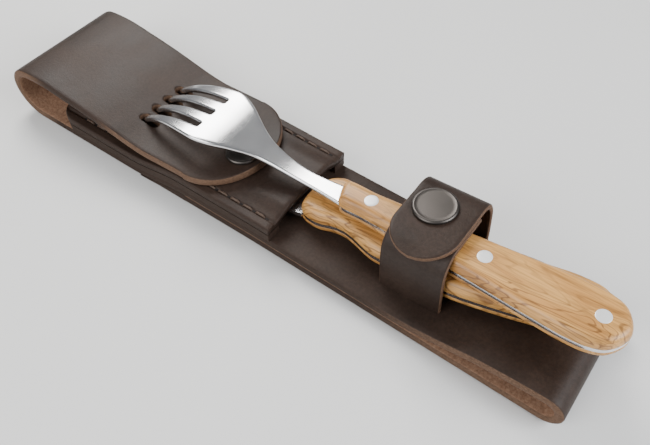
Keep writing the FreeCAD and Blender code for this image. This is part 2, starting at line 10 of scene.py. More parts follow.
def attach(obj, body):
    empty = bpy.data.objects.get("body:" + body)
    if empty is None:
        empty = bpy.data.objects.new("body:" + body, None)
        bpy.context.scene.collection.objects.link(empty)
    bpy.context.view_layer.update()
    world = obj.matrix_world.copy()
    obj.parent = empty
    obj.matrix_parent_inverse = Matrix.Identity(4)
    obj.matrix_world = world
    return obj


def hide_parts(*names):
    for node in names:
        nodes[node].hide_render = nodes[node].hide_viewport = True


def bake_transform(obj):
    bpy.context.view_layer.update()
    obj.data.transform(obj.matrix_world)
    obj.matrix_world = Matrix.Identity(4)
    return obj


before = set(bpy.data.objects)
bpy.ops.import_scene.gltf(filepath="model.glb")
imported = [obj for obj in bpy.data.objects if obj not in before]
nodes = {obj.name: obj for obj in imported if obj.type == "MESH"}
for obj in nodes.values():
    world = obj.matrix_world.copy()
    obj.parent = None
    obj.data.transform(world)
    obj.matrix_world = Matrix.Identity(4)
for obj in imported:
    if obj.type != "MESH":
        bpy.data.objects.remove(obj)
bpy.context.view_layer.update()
MM = 0.001

# ---------------------------------------------------------------- material helpers


def new_material(name):
    mat = bpy.data.materials.new(name)
    mat.use_nodes = True
    tree = mat.node_tree
    tree.nodes.clear()
    out = tree.nodes.new("ShaderNodeOutputMaterial")
    shader = tree.nodes.new("ShaderNodeBsdfPrincipled")
    tree.links.new(shader.outputs[0], out.inputs[0])
    return mat, tree, shader


def link(tree, a, b):
    tree.links.new(a, b)


def coords(tree, scale=(1, 1, 1), output="Object"):
    source = tree.nodes.new("ShaderNodeTexCoord")
    mapping = tree.nodes.new("ShaderNodeMapping")
    mapping.inputs["Scale"].default_value = scale
    link(tree, source.outputs[output], mapping.inputs[0])
    return mapping.outputs[0]


def noise(tree, vector, scale, detail=4.0, rough=0.55, warp=0.0):
    node = tree.nodes.new("ShaderNodeTexNoise")
    node.inputs["Scale"].default_value = scale
    node.inputs["Detail"].default_value = detail
    node.inputs["Roughness"].default_value = rough
    node.inputs["Distortion"].default_value = warp
    link(tree, vector, node.inputs["Vector"])
    return node.outputs["Fac"]


def cells(tree, vector, scale):
    node = tree.nodes.new("ShaderNodeTexVoronoi")
    node.inputs["Scale"].default_value = scale
    link(tree, vector, node.inputs["Vector"])
    return node.outputs["Distance"]


def ramp(tree, value, stops):
    node = tree.nodes.new("ShaderNodeValToRGB")
    elements = node.color_ramp.elements
    while len(elements) < len(stops):
        elements.new(0.5)
    for element, (at, color) in zip(elements, stops):
        element.position = at
        element.color = (*color, 1) if len(color) == 3 else color
    link(tree, value, node.inputs[0])
    return node.outputs[0]


def math_node(tree, kind, a, b=None, c=None):
    node = tree.nodes.new("ShaderNodeMath")
    node.operation = kind
    for i, item in enumerate((a, b, c)):
        if item is None:
            continue
        if isinstance(item, (int, float)):
            node.inputs[i].default_value = item
        else:
            link(tree, item, node.inputs[i])
    return node.outputs[0]


def between(tree, value, low, high):
    """0 below low, 1 above high, smooth in between."""
    node = tree.nodes.new("ShaderNodeMapRange")
    node.interpolation_type = "SMOOTHSTEP"
    node.inputs["From Min"].default_value = low
    node.inputs["From Max"].default_value = high
    link(tree, value, node.inputs["Value"])
    return node.outputs["Result"]


def blend_color(tree, mask, a, b):
    node = tree.nodes.new("ShaderNodeMix")
    node.data_type = "RGBA"
    link(tree, mask, node.inputs["Factor"])
    for slot, item in ((6, a), (7, b)):
        if isinstance(item, tuple):
            node.inputs[slot].default_value = (*item, 1)
        else:
            link(tree, item, node.inputs[slot])
    return node.outputs[2]


def tinted(tree, base, marks, share):
    """The base color multiplied by the marks, by the given share."""
    node = tree.nodes.new("ShaderNodeMix")
    node.data_type = "RGBA"
    node.blend_type = "MULTIPLY"
    node.inputs["Factor"].default_value = share
    link(tree, base, node.inputs[6])
    link(tree, marks, node.inputs[7])
    return node.outputs[2]


def blend_value(tree, mask, a, b):
    node = tree.nodes.new("ShaderNodeMix")
    node.data_type = "FLOAT"
    link(tree, mask, node.inputs["Factor"])
    for slot, item in ((2, a), (3, b)):
        if isinstance(item, (int, float)):
            node.inputs[slot].default_value = item
        else:
            link(tree, item, node.inputs[slot])
    return node.outputs[0]


def bump(tree, height, strength, distance, before=None):
    node = tree.nodes.new("ShaderNodeBump")
    node.inputs["Strength"].default_value = strength
    node.inputs["Distance"].default_value = distance
    link(tree, height, node.inputs["Height"])
    if before is not None:
        link(tree, before, node.inputs["Normal"])
    return node.outputs[0]


def axis_part(tree, vector, index):
    node = tree.nodes.new("ShaderNodeSeparateXYZ")
    link(tree, vector, node.inputs[0])
    return node.outputs[index]


def vector_math(tree, kind, a, b):
    node = tree.nodes.new("ShaderNodeVectorMath")
    node.operation = kind
    for i, item in enumerate((a, b)):
        if isinstance(item, tuple):
            node.inputs[i].default_value = item
        else:
            link(tree, item, node.inputs[i])
    return node


def bare_mask(tree, place, stretches):
    """1 where x has passed from the first to the second value of any stretch."""
    mask = 0.0
    for start, stop in stretches:
        passed = between(tree, axis_part(tree, place, 0), start, stop)
        mask = math_node(tree, "MAXIMUM", mask, passed)
    return mask


def round_end_mask(tree, place, normal, axis, limit, sign):
    """1 on upright faces past the limit along the axis."""
    past = math_node(tree, "MULTIPLY", axis_part(tree, place, axis), float(sign))
    upright = math_node(tree, "ABSOLUTE", axis_part(tree, normal, 2))
    upright = math_node(tree, "SUBTRACT", 1.0, between(tree, upright, 0.35, 0.75))
    reached = between(tree, past, sign * limit, sign * limit + 0.001)
    return math_node(tree, "MULTIPLY", reached, upright)


def loop_inside_mask(tree, place, normal, centre):
    """1 on faces turned towards the line across the strap through the centre of its loop."""
    away = vector_math(tree, "SUBTRACT", place, centre).outputs[0]
    flat = vector_math(tree, "MULTIPLY", away, (150, 0, 1000)).outputs[0]
    facing = vector_math(tree, "DOT_PRODUCT", flat, normal).outputs["Value"]
    return math_node(tree, "SUBTRACT", 1.0, between(tree, facing, -0.9, -0.3))


def leather(name, edge_axis, inside=None, end=None, bare=()):
    """Waxed grain leather with dyed cut edges; tan flesh side facing the given centre of a loop.

    end is (axis, limit, sign) of a rounded end, past which every upright face is a cut edge.
    bare lists (from x, to x) stretches over which the dyed edge gives way to raw brown."""
    mat, tree, shader = new_material(name)
    place = coords(tree)
    normal = coords(tree, output="Normal")
    clouds = noise(tree, place, 55.0, 3.0)
    fine = noise(tree, place, 900.0, 5.0)
    pores = cells(tree, place, 2300.0)
    grain = ramp(tree, clouds, [(0.3, (0.024, 0.0145, 0.0105)), (0.7, (0.044, 0.028, 0.021))])
    speckle = ramp(tree, fine, [(0.35, (0.75, 0.75, 0.75)), (0.65, (1.1, 1.1, 1.1))])
    grain = tinted(tree, grain, speckle, 0.8)
    fibres = noise(tree, coords(tree, (1.0, 1.0, 3.0)), 1400.0, 6.0, 0.7)
    edge = ramp(tree, fibres, [(0.3, (0.018, 0.011, 0.008)), (0.7, (0.052, 0.032, 0.022))])
    if bare:
        raw = ramp(tree, fibres, [(0.3, (0.045, 0.025, 0.015)), (0.7, (0.190, 0.110, 0.068))])
        edge = blend_color(tree, bare_mask(tree, place, bare), edge, raw)
    edge_side = math_node(tree, "ABSOLUTE", axis_part(tree, normal, edge_axis))
    edge_mask = between(tree, edge_side, 0.45, 0.75)
    if end is not None:
        edge_mask = math_node(tree, "MAXIMUM", edge_mask, round_end_mask(tree, place, normal, *end))
    color = blend_color(tree, edge_mask, grain, edge)
    waxed = math_node(tree, "MULTIPLY_ADD", clouds, 0.22, 0.38)
    rough = blend_value(tree, edge_mask, waxed, 0.72)
    if inside is not None:
        inner = loop_inside_mask(tree, place, normal, inside)
        inner = math_node(tree, "MULTIPLY", inner, math_node(tree, "SUBTRACT", 1.0, edge_mask))
        suede = noise(tree, place, 1100.0, 8.0, 0.75)
        tan_stops = [(0.3, (0.15, 0.080, 0.048)), (0.55, (0.29, 0.170, 0.108)), (0.75, (0.44, 0.285, 0.195))]
        color = blend_color(tree, inner, color, ramp(tree, suede, tan_stops))
        rough = blend_value(tree, inner, rough, 0.92)
    link(tree, color, shader.inputs["Base Color"])
    link(tree, rough, shader.inputs["Roughness"])
    shader.inputs["Specular IOR Level"].default_value = 0.20
    relief = math_node(tree, "MULTIPLY_ADD", pores, 0.6, fine)
    folds = noise(tree, place, 120.0, 2.0)
    first = bump(tree, relief, 0.22, 0.00025)
    link(tree, bump(tree, folds, 0.12, 0.0012, first), shader.inputs["Normal"])
    return mat


def olive_wood(name, seed):
    """Honey ground with flowing dark figure lines along the handle and a finer straight grain."""
    mat, tree, shader = new_material(name)
    source = tree.nodes.new("ShaderNodeTexCoord")
    shifted = tree.nodes.new("ShaderNodeMapping")
    shifted.inputs["Location"].default_value = (seed, seed * 0.37, 0)
    shifted.inputs["Scale"].default_value = (0.22, 1.0, 0.55)
    shifted.inputs["Rotation"].default_value = (0, 0, 0.06)
    link(tree, source.outputs["Object"], shifted.inputs[0])
    flow = noise(tree, shifted.outputs[0], 95.0, 2.5, 0.45, 0.9)
    streak = noise(tree, coords(tree, (0.05, 1.0, 1.0)), 1300.0, 4.0, 0.6)
    patches = noise(tree, coords(tree, (0.3, 1.0, 1.0)), 40.0, 2.0)
    honey = [(0.22, (0.36, 0.165, 0.044)), (0.42, (0.54, 0.265, 0.074))]
    honey += [(0.56, (0.68, 0.365, 0.112)), (0.75, (0.42, 0.190, 0.048))]
    ground = ramp(tree, flow, honey)
    broad = between(tree, noise(tree, shifted.outputs[0], 48.0, 3.0, 0.5, 1.1), 0.50, 0.66)
    broad = math_node(tree, "MULTIPLY", broad, 0.55)
    ground = blend_color(tree, broad, ground, (0.27, 0.120, 0.034))
    bands = math_node(tree, "MULTIPLY", flow, 96.0)
    wave = math_node(tree, "SINE", bands)
    lines = between(tree, wave, 0.55, 1.0)
    strong = between(tree, patches, 0.42, 0.60)
    faint = math_node(tree, "MULTIPLY_ADD", strong, 0.50, 0.22)
    figure = math_node(tree, "MULTIPLY", lines, faint)
    color = blend_color(tree, figure, ground, (0.17, 0.070, 0.020))
    grain = ramp(tree, streak, [(0.32, (0.56, 0.52, 0.46)), (0.58, (1.05, 1.04, 1.0))])
    link(tree, tinted(tree, color, grain, 0.85), shader.inputs["Base Color"])
    rough = math_node(tree, "MULTIPLY_ADD", streak, 0.18, 0.30)
    link(tree, rough, shader.inputs["Roughness"])
    link(tree, bump(tree, streak, 0.12, 0.0001), shader.inputs["Normal"])
    return mat


def metal(name, color, low, high, stretch=(1, 1, 1), scale=900.0, bump_strength=0.05):
    mat, tree, shader = new_material(name)
    marks = noise(tree, coords(tree, stretch), scale, 5.0, 0.6)
    smudges = noise(tree, coords(tree), 70.0, 3.0)
    dull = tuple(c * 0.86 for c in color)
    link(tree, ramp(tree, smudges, [(0.3, dull), (0.7, color)]), shader.inputs["Base Color"])
    link(tree, blend_value(tree, marks, low, high), shader.inputs["Roughness"])
    link(tree, bump(tree, marks, bump_strength, 0.00005), shader.inputs["Normal"])
    shader.inputs["Metallic"].default_value = 1.0
    return mat


def waxed_thread(name):
    mat, tree, shader = new_material(name)
    twist = noise(tree, coords(tree), 2600.0, 4.0)
    browns = [(0.3, (0.034, 0.020, 0.013)), (0.7, (0.105, 0.062, 0.040))]
    link(tree, ramp(tree, twist, browns), shader.inputs["Base Color"])
    link(tree, blend_value(tree, twist, 0.5, 0.75), shader.inputs["Roughness"])
    link(tree, bump(tree, twist, 0.5, 0.0002), shader.inputs["Normal"])
    return mat


FLAP_CENTRE = (-0.095, 0, 0.0115)
BELT_CENTRE = (0.100, 0, 0.0055)
flap_leather = leather("flap_leather", 1, FLAP_CENTRE, (0, -0.066, 1), ((-0.075, -0.062), (-0.098, -0.112)))
strap_leather = leather("strap_leather", 1, BELT_CENTRE, None, ((0.045, 0.085),))
pocket_leather = leather("pocket_leather", 1)
keeper_leather = leather("keeper_leather", 0, None, None, ((-1.0, -0.9),))
keeper_tab_leather = leather("keeper_tab_leather", 0, None, (1, -0.0035, -1), ((-1.0, -0.9),))
knife_wood = olive_wood("knife_olive_wood", 0.31)
fork_wood = olive_wood("fork_olive_wood", 0.86)
steel = metal("polished_steel", (0.84, 0.84, 0.85), 0.17, 0.25, (0.05, 1, 1), 700.0, 0.006)
rivet_metal = metal("rivet_aluminium", (0.94, 0.94, 0.93), 0.30, 0.45)
rivet_metal.node_tree.nodes["Principled BSDF"].inputs["Metallic"].default_value = 0.25
gunmetal = metal("gunmetal", (0.105, 0.095, 0.088), 0.30, 0.52, (1, 1, 1), 420.0, 0.15)
inner_metal = metal("stud_nickel", (0.55, 0.53, 0.50), 0.22, 0.38)
thread = waxed_thread("waxed_thread")
# painted shade: near-black material for the discs that stand for the shadowed inside of each stitch hole
hole_shade_paint = metal("hole_shadow", (0.012, 0.008, 0.006), 0.9, 1.0)
hole_shade_paint.node_tree.nodes["Principled BSDF"].inputs["Metallic"].default_value = 0.0

# ---------------------------------------------------------------- mesh helpers


def make_object(name, verts, faces, mat, matrix=None, smooth=True):
    mesh = bpy.data.meshes.new(name)
    mesh.from_pydata([tuple(v) for v in verts], [], faces)
    mesh.validate()
    mesh.update()
    bm = bmesh.new()
    bm.from_mesh(mesh)
    bmesh.ops.recalc_face_normals(bm, faces=bm.faces)
    bm.to_mesh(mesh)
    bm.free()
    for poly in mesh.polygons:
        poly.use_smooth = smooth
    mesh.materials.append(mat)
    obj = bpy.data.objects.new(name, mesh)
    bpy.context.scene.collection.objects.link(obj)
    if matrix is not None:
        obj.matrix_world = matrix
    return obj


def smooth_path(points, step, closed=False):
    """Points about one step apart on a smooth curve through the given points (Catmull-Rom)."""
    points = [Vector(p) for p in points]
    count = len(points)
    found = []
    spans = count if closed else count - 1
    for i in range(spans):
        if closed:
            p0, p1, p2, p3 = (points[(i + k) % count] for k in (-1, 0, 1, 2))
        else:
            p1, p2 = points[i], points[i + 1]
            p0 = points[i - 1] if i > 0 else p1 * 2 - p2
            p3 = points[i + 2] if i + 2 < count else p2 * 2 - p1
        k01 = max(1e-6, (p1 - p0).length ** 0.5)
        k12 = max(1e-6, (p2 - p1).length ** 0.5)
        k23 = max(1e-6, (p3 - p2).length ** 0.5)
        m1 = (p2 - p1) + ((p1 - p0) / k01 - (p2 - p0) / (k01 + k12)) * k12
        m2 = (p2 - p1) + ((p3 - p2) / k23 - (p3 - p1) / (k12 + k23)) * k12
        pieces = max(1, round((p2 - p1).length / step))
        for j in range(pieces):
            t = j / pieces
            h = (2 * t**3 - 3 * t**2 + 1, t**3 - 2 * t**2 + t, -2 * t**3 + 3 * t**2, t**3 - t**2)
            found.append(p1 * h[0] + m1 * h[1] + p2 * h[2] + m2 * h[3])
    if not closed:
        found.append(points[-1])
    return found


def rounded_section(half_width, half_thick, radius, across):
    """Outline of a strap's cross-section: (across, through) pairs, its edges rounded over."""
    radius = min(radius, half_width * 0.9, half_thick)
    flat = half_width - radius
    top = [(-flat + 2 * flat * i / across, half_thick) for i in range(across + 1)]
    turn = []
    for i in range(1, 8):
        a = math.pi / 2 - math.pi * i / 8
        height = math.sin(a)
        through = 0.0
        if abs(height) > 1e-6:
            through = half_thick * height * 0.94 + half_thick * 0.06 * math.copysign(1, height)
        turn.append((flat + radius * math.cos(a), through))
    lower = [(flat - 2 * flat * i / across, -half_thick) for i in range(across + 1)]
    back = [(-y, z) for y, z in turn][::-1]
    return top + turn + lower + back


def ring_faces(rings, size, base=0):
    """Quads joining each ring of points to the next."""
    faces = []
    for i in range(rings - 1):
        this = base + i * size
        after = this + size
        for j in range(size):
            k = (j + 1) % size
            faces.append((this + j, this + k, after + k, after + j))
    return faces


def sweep(name, path, normals, sideways, widths, thick, radius, mat, across=24):
    """Strap along a path: sections of given half width, closed at both ends."""
    verts = []
    for point, normal, width in zip(path, normals, widths):
        section = rounded_section(width, thick / 2, radius, across)
        verts += [(point + sideways * y + normal * t) * MM for y, t in section]
    size = len(verts) // len(path)
    faces = ring_faces(len(path), size)
    close_ends(verts, faces, size)
    return make_object(name, verts, faces, mat)


def close_ends(verts, faces, size):
    """End faces on points of their own, so that they shade flat."""
    for ring in (verts[:size], verts[-size:]):
        faces.append(tuple(range(len(verts), len(verts) + size)))
        verts.extend(ring)


def path_normals(path, sideways):
    found = []
    for i, _ in enumerate(path):
        along = (path[min(i + 1, len(path) - 1)] - path[max(i - 1, 0)]).normalized()
        found.append(along.cross(sideways).normalized())
    return found


def lathe(name, profile, mat, matrix, around=72):
    verts = []
    for r, z in profile:
        for i in range(around):
            a = 2 * math.pi * i / around
            verts.append(Vector((r * math.cos(a), r * math.sin(a), z)) * MM)
    faces = ring_faces(len(profile), around)
    faces.append(tuple(range(around)))
    faces.append(tuple(range((len(profile) - 1) * around, len(profile) * around)))
    return make_object(name, verts, faces, mat, matrix)


def join(name, parts):
    """Several meshes as one object."""
    bpy.ops.object.select_all(action="DESELECT")
    for part in parts:
        part.select_set(True)
    bpy.context.view_layer.objects.active = parts[0]
    bpy.ops.object.join()
    parts[0].name = name
    return parts[0]


def bake(obj):
    """Replaces the mesh by what its modifiers make of it."""
    bpy.context.view_layer.update()
    graph = bpy.context.evaluated_depsgraph_get()
    mesh = bpy.data.meshes.new_from_object(obj.evaluated_get(graph))
    obj.modifiers.clear()
    obj.data = mesh
    for poly in mesh.polygons:
        poly.use_smooth = True


def place(x, y, z, pitch=0.0):
    return Matrix.Translation(Vector((x, y, z)) * MM) @ Matrix.Rotation(math.radians(pitch), 4, "Y")


def cut_prism(obj, rim, low, high, matrix):
    """Cuts an upright prism with the given rim out of a piece."""
    verts = [matrix @ (Vector((px, py, z)) * MM) for z in (low, high) for px, py in rim]
    count = len(rim)
    faces = [tuple(range(count)), tuple(range(count, 2 * count))]
    faces += [(i, (i + 1) % count, count + (i + 1) % count, count + i) for i in range(count)]
    cutter = make_object("cutter", verts, faces, obj.data.materials[0])
    cut = obj.modifiers.new("cut", "BOOLEAN")
    cut.operation = "DIFFERENCE"
    cut.solver = "EXACT"
    cut.object = cutter
    bake(obj)
    bpy.data.objects.remove(cutter)


def circle(x, y, radius):
    turns = [math.radians(7.5 * i) for i in range(48)]
    return [(x + radius * math.cos(a), y + radius * math.sin(a)) for a in turns]


def smooth_step(share):
    share = min(1.0, max(0.0, share))
    return share * share * (3 - 2 * share)


# ---------------------------------------------------------------- sheath

PLY = 3.3
HALF_PLY = PLY / 2
CROSS = Vector((0, 1, 0))
FLAP_TIP = -10.0
TONGUE_LENGTH = 20.0


def half_width(x):
    share = min(1.0, max(0.0, x / -123.0))
    return 22.7 + 1.9 * share


def lay_height(x):
    """Top of the back strap left of the belt loop."""
    return PLY + 3.45 * smooth_step((x + 59.0) / 26.0)


def arc(centre_x, centre_z, radius, start, stop, step, side):
    return [
        (
            centre_x + side * radius * math.sin(math.radians(a)),
            0,
            centre_z - radius * math.cos(math.radians(a)),
        )
        for a in range(start, stop, step)
    ]


def build_back_strap():
    loop_x = 112.05
    under = [(-32.0 + 17.0 * i, 0, HALF_PLY) for i in range(8)]
    under += [(loop_x - d, 0, HALF_PLY) for d in (16.0, 9.0, 4.0)]
    fold = arc(loop_x, 6.65, 5.0, 0, 181, 15, 1)
    rise = [(90.0, 0, 10.0), (75.0, 0, 7.1), (62.0, 0, 5.4)]
    flat = [(50.0 - 16.0 * i, 0, 5.1) for i in range(5)]
    down = [(-24.0 - 4.0 * i, 0, lay_height(-24.0 - 4.0 * i) - HALF_PLY) for i in range(12)]
    rest = [(-76.0 - 7.0 * i, 0, HALF_PLY) for i in range(4)]
    path = smooth_path(under + fold + rise + flat + down + rest, 1.6)
    widths = [half_width(p.x) - 0.02 for p in path]
    normals = path_normals(path, CROSS)
    return sweep("strap_leather_piece", path, normals, CROSS, widths, PLY, 0.8, strap_leather)


def build_skived_end():
    """Tapered end of the return ply under the place where the upper ply comes down."""
    stations = [-31.5 - 1.5 * i for i in range(17)]
    verts = []
    for x in stations:
        half = half_width(x) - 0.05
        top = max(0.03, lay_height(x) - PLY - 0.1)
        edge = min(0.7, top * 0.4)
        near = [(-half + edge, 0.0), (-half, edge), (-half, top - edge), (-half + edge, top)]
        section = near + [(-y, z) for y, z in near[::-1]]
        verts += [Vector((x, y, z)) * MM for y, z in section]
    size = len(verts) // len(stations)
    faces = ring_faces(len(stations), size)
    close_ends(verts, faces, size)
    return make_object("strap_skived_end", verts, faces, pocket_leather, None, False)


def flap_half_width(x):
    """Half width of the flap: the sheath's, then the round end of the tongue."""
    start = FLAP_TIP - TONGUE_LENGTH
    if x <= start:
        return half_width(x)
    share = min(1.0, (x - start) / TONGUE_LENGTH)
    return half_width(-49.0) * math.sqrt(max(0.0, 1 - share * share))


# Tine slots in the flap: middle of their length, middle of the row, spacing, length and width.
SLOT_X = -58.4
SLOT_ROW_Y = -1.1
SLOT_SPACING = 6.35
SLOT_LENGTH = 8.6
SLOT_WIDTH = 3.7


def build_flap():
    start = [(-97.2 - 2.4 * i, 0, HALF_PLY) for i in range(6)]
    fold = arc(-111.5, 11.5, 9.85, 0, 166, 15, -1)
    panel = [(-103.0, 0, 21.9), (-91.0, 0, 20.7), (-77.0, 0, 18.9), (-66.0, 0, 16.9), (-58.0, 0, 15.5)]
    panel += [(-50.0, 0, 14.80), (-42.0, 0, 15.25), (-34.0, 0, 15.70), (-26.0, 0, 15.85)]
    panel += [(-17.0, 0, 16.1), (-10.0, 0, 16.55)]
    path = smooth_path(start + fold + panel, 1.2)
    near_tip = [p for p in path if not (p.x > -14.0 and p.z > 8)]
    tip = [Vector((FLAP_TIP - 4.0 * (1 - math.sin(math.radians(a))), 0, 0)) for a in range(0, 86, 8)]
    for p in tip:
        p.z = 16.1 + (p.x + 17.0) * 0.45 / 7.0
    path = near_tip + tip
    widths = [max(0.8, flap_half_width(p.x) if p.z > 8 else half_width(p.x)) for p in path]
    normals = path_normals(path, CROSS)
    flap = sweep("flap_leather_piece", path, normals, CROSS, widths, PLY, 0.85, flap_leather, 40)
    for i in range(4):
        y = SLOT_ROW_Y + (i - 1.5) * SLOT_SPACING
        cut_slot(flap, SLOT_X, y, SLOT_LENGTH, SLOT_WIDTH)
    return flap


def cut_slot(obj, x, y, length, width):
    radius = width / 2
    reach = length / 2 - radius
    turns = [math.radians(d) for d in range(-90, 91, 15)]
    rim = [(x + reach + radius * math.cos(a), y + radius * math.sin(a)) for a in turns]
    rim += [(x - reach - radius * math.cos(a), y - radius * math.sin(a)) for a in turns]
    cut_prism(obj, rim, 9.0, 24.0, Matrix())


def front_rest(x):
    return lay_height(x) + 3.42


def blade_lift(x):
    blade_top = 11.75 + (x - 17.0) * math.tan(math.radians(4.0)) + 0.9
    return max(0.0, blade_top + 0.35 - front_rest(x))


def bulge(x, y):
    full = 10.5 + 4.0 * smooth_step((-20.0 - x) / 30.0)
    return blade_lift(x) * (1 - smooth_step((abs(y) - full) / (18.0 - full)))


def seam_y(x):
    return half_width(x) - 3.9


def groove(x, y):
    """Depth of the stitch channel below the pocket's top."""
    off = abs(abs(y) - seam_y(x))
    return 0.55 * (1 - smooth_step((off - 0.25) / 0.65))


# Ends of the pocket and its row of stitches, along the sheath.
POCKET_LEFT = -99.0
POCKET_MOUTH = 8.5
FIRST_STITCH = POCKET_MOUTH - 4.0
STITCH_PITCH = 5.7
STITCHES = 16
CORNER = 9.0


def build_pocket_front():
    """Front of the pocket, with rounded edges, its lift over the blade and the stitch channels."""
    left = POCKET_LEFT
    right = POCKET_MOUTH
    stations = [left + CORNER * (1 - math.cos(math.radians(a))) for a in range(6, 90, 7)]
    stations += [-90.0 + 0.9 * i for i in range(1, 109)] + [8.0, 8.3, right]
    verts = []
    rows = []
    for x in stations:
        half = half_width(x) - 0.02
        if x < left + CORNER:
            half -= CORNER - math.sqrt(max(0.0, CORNER**2 - (left + CORNER - x) ** 2))
        end = smooth_step((right - x) / 0.9)
        radius = 0.7
        seam = seam_y(x)
        across = [-half + radius + (2 * half - 2 * radius) * i / 44 for i in range(45)]
        reach = min(seam, half - radius - 1.0)
        across += [s * (reach + d) for s in (-1, 1) for d in (-0.9, -0.55, -0.25, 0.0, 0.25, 0.55, 0.9)]
        across = sorted(across)
        section = []
        for y in across:
            section.append((y, front_rest(x) + bulge(x, y) + PLY - groove(x, y) - 0.35 * (1 - end)))
        for i in range(1, 6):
            a = math.pi / 2 * (1 - i / 5)
            high = front_rest(x) + PLY - radius + radius * math.sin(a)
            section.append((half - radius + radius * math.cos(a), high))
        for y in across[::-1]:
            section.append((y, front_rest(x) + bulge(x, y) + 0.02 + (0.25 if end < 0.5 else 0)))
        section.insert(len(across) + 5, (half, front_rest(x) + 0.3))
        section.append((-half, front_rest(x) + 0.3))
        for i in range(5, 0, -1):
            a = math.pi / 2 * (1 - i / 5)
            high = front_rest(x) + PLY - radius + radius * math.sin(a)
            section.append((-half + radius - radius * math.cos(a), high))
        rows.append(section)
        verts += [Vector((x, y, z)) * MM for y, z in section]
    size = len(rows[-1])
    if any(len(row) != size for row in rows):
        raise RuntimeError("pocket sections differ in length")
    faces = ring_faces(len(rows), size)
    faces.append(tuple(range(size)))
    faces.append(tuple(range((len(rows) - 1) * size, len(rows) * size)))
    return make_object("pocket_leather_piece", verts, faces, pocket_leather)


def build_stitches(side, name):
    """Thread runs that dive into the leather at each hole."""
    verts = []
    faces = []
    around = 10
    for i in range(STITCHES):
        start = FIRST_STITCH - STITCH_PITCH * i
        stop = start - STITCH_PITCH + 1.0
        base = len(verts)
        steps = 14
        for k in range(steps + 1):
            t = k / steps
            x = start + (stop - start) * t
            dive = 1.1 * (abs(2 * t - 1) ** 6)
            z = front_rest(x) + PLY - 0.32 - dive + 0.30
            radius = 0.46 * (1 - 0.25 * abs(2 * t - 1) ** 4)
            for m in range(around):
                a = 2 * math.pi * m / around
                ply = 1 + 0.10 * math.cos(2 * a + t * 14)
                y = side * seam_y(x) + radius * ply * math.cos(a)
                verts.append(Vector((x, y, z + radius * ply * math.sin(a))) * MM)
        faces += ring_faces(steps + 1, around, base)
    return make_object(name, verts, faces, thread)


def build_stitch_hole_shade(side, name):
    """Near-black discs set into each awl hole between the thread runs: painted shade for the shadowed inside
    of each hole.
    """
    verts = []
    faces = []
    for i in range(STITCHES + 1):
        x = FIRST_STITCH + 0.5 - STITCH_PITCH * i
        centre = Vector((x, side * seam_y(x), front_rest(x) + PLY - 0.50))
        base = len(verts)
        verts.append(centre * MM)
        for m in range(16):
            a = 2 * math.pi * m / 16
            verts.append((centre + Vector((0.85 * math.cos(a), 0.55 * math.sin(a), 0.12))) * MM)
        faces += [(base, base + 1 + m, base + 1 + (m + 1) % 16) for m in range(16)]
    return make_object(name, verts, faces, hole_shade_paint)


back = build_back_strap()
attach(back, "sheath")
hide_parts("back_strap")

skive = build_skived_end()
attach(skive, "sheath")

SNAP_PLACE = place(-18.5, -3.0, 16.03, -math.degrees(math.atan2(16.45 - 15.74, 12.0)))
flap = build_flap()
cut_prism(flap, circle(0.0, 0.0, 4.4), -3.0, -0.28, SNAP_PLACE)
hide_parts("flap_strap", "flap_tongue")
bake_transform(flap)

pocket = build_pocket_front()
cut_prism(pocket, circle(0.0, 0.0, 4.45), -2.65, 3.0, SNAP_PLACE)
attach(pocket, "sheath")
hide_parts("pocket_front")

for side, node in ((-1, "near_stitching"), (1, "far_stitching")):
    row = build_stitches(side, node + "_thread")
    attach(row, "sheath")
    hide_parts(node)
    # near-black discs of painted shade, one in each stitch hole
    hole_shade_discs = build_stitch_hole_shade(side, node + "_holes")
    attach(hole_shade_discs, "sheath")

# ---------------------------------------------------------------- keeper

ALONG = Vector((1, 0, 0))
KEEPER_X = 59.0
KEEPER_HALF = 11.48
TILT = (
    Matrix.Translation((0.059, 0, 0.018))
    @ Matrix.Rotation(math.radians(-4.0), 4, "Y")
    @ Matrix.Translation((-0.059, 0, -0.018))
)


def keeper_strap(name, line, widths_at, mat, thick=2.0):
    path = smooth_path([(KEEPER_X, y, z) for y, z in line], 0.7)
    widths = [widths_at(p) for p in path]
    strap = sweep(name, path, path_normals(path, ALONG), ALONG, widths, thick, 0.6, mat, 20)
    strap.data.transform(TILT)
    return strap


def tab_width(point):
    """Half width of the outer strap: straight, then its half-round end."""
    if point.z < 31.0 or point.y > -4.4:
        return KEEPER_HALF
    reach = min(1.0, (-4.4 - point.y) / 11.5)
    return max(0.7, KEEPER_HALF * math.sqrt(max(0.0, 1 - reach * reach)))


near_line = [(-12.6, 4.2), (-12.6, 9.0), (-12.6, 15.0), (-12.4, 21.0), (-11.2, 26.6), (-7.6, 30.2)]
near_line += [(-2.0, 30.8), (3.0, 30.8), (9.6, 30.8)]
inner_ply = keeper_strap("keeper_inner_leather", near_line, lambda p: KEEPER_HALF, keeper_leather)
cut_prism(inner_ply, circle(57.0, 3.9, 4.95), 30.2, 40.0, TILT)
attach(inner_ply, "sheath")
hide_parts("keeper_near_strap")

outer_line = [(18.5, 4.2), (18.5, 10.0), (18.5, 16.0), (18.4, 22.0), (17.6, 27.6), (15.4, 31.6), (12.0, 33.2)]
outer_line += [(6.0, 33.2), (0.0, 33.2), (-6.0, 33.2), (-11.0, 33.05), (-13.5, 32.6), (-14.8, 32.35)]
outer_line += [(-15.5, 32.2), (-15.88, 32.1)]
outer_ply = keeper_strap("keeper_outer_leather", outer_line, tab_width, keeper_tab_leather)
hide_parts("keeper_far_strap", "keeper_tab")
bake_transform(outer_ply)

# ---------------------------------------------------------------- press studs


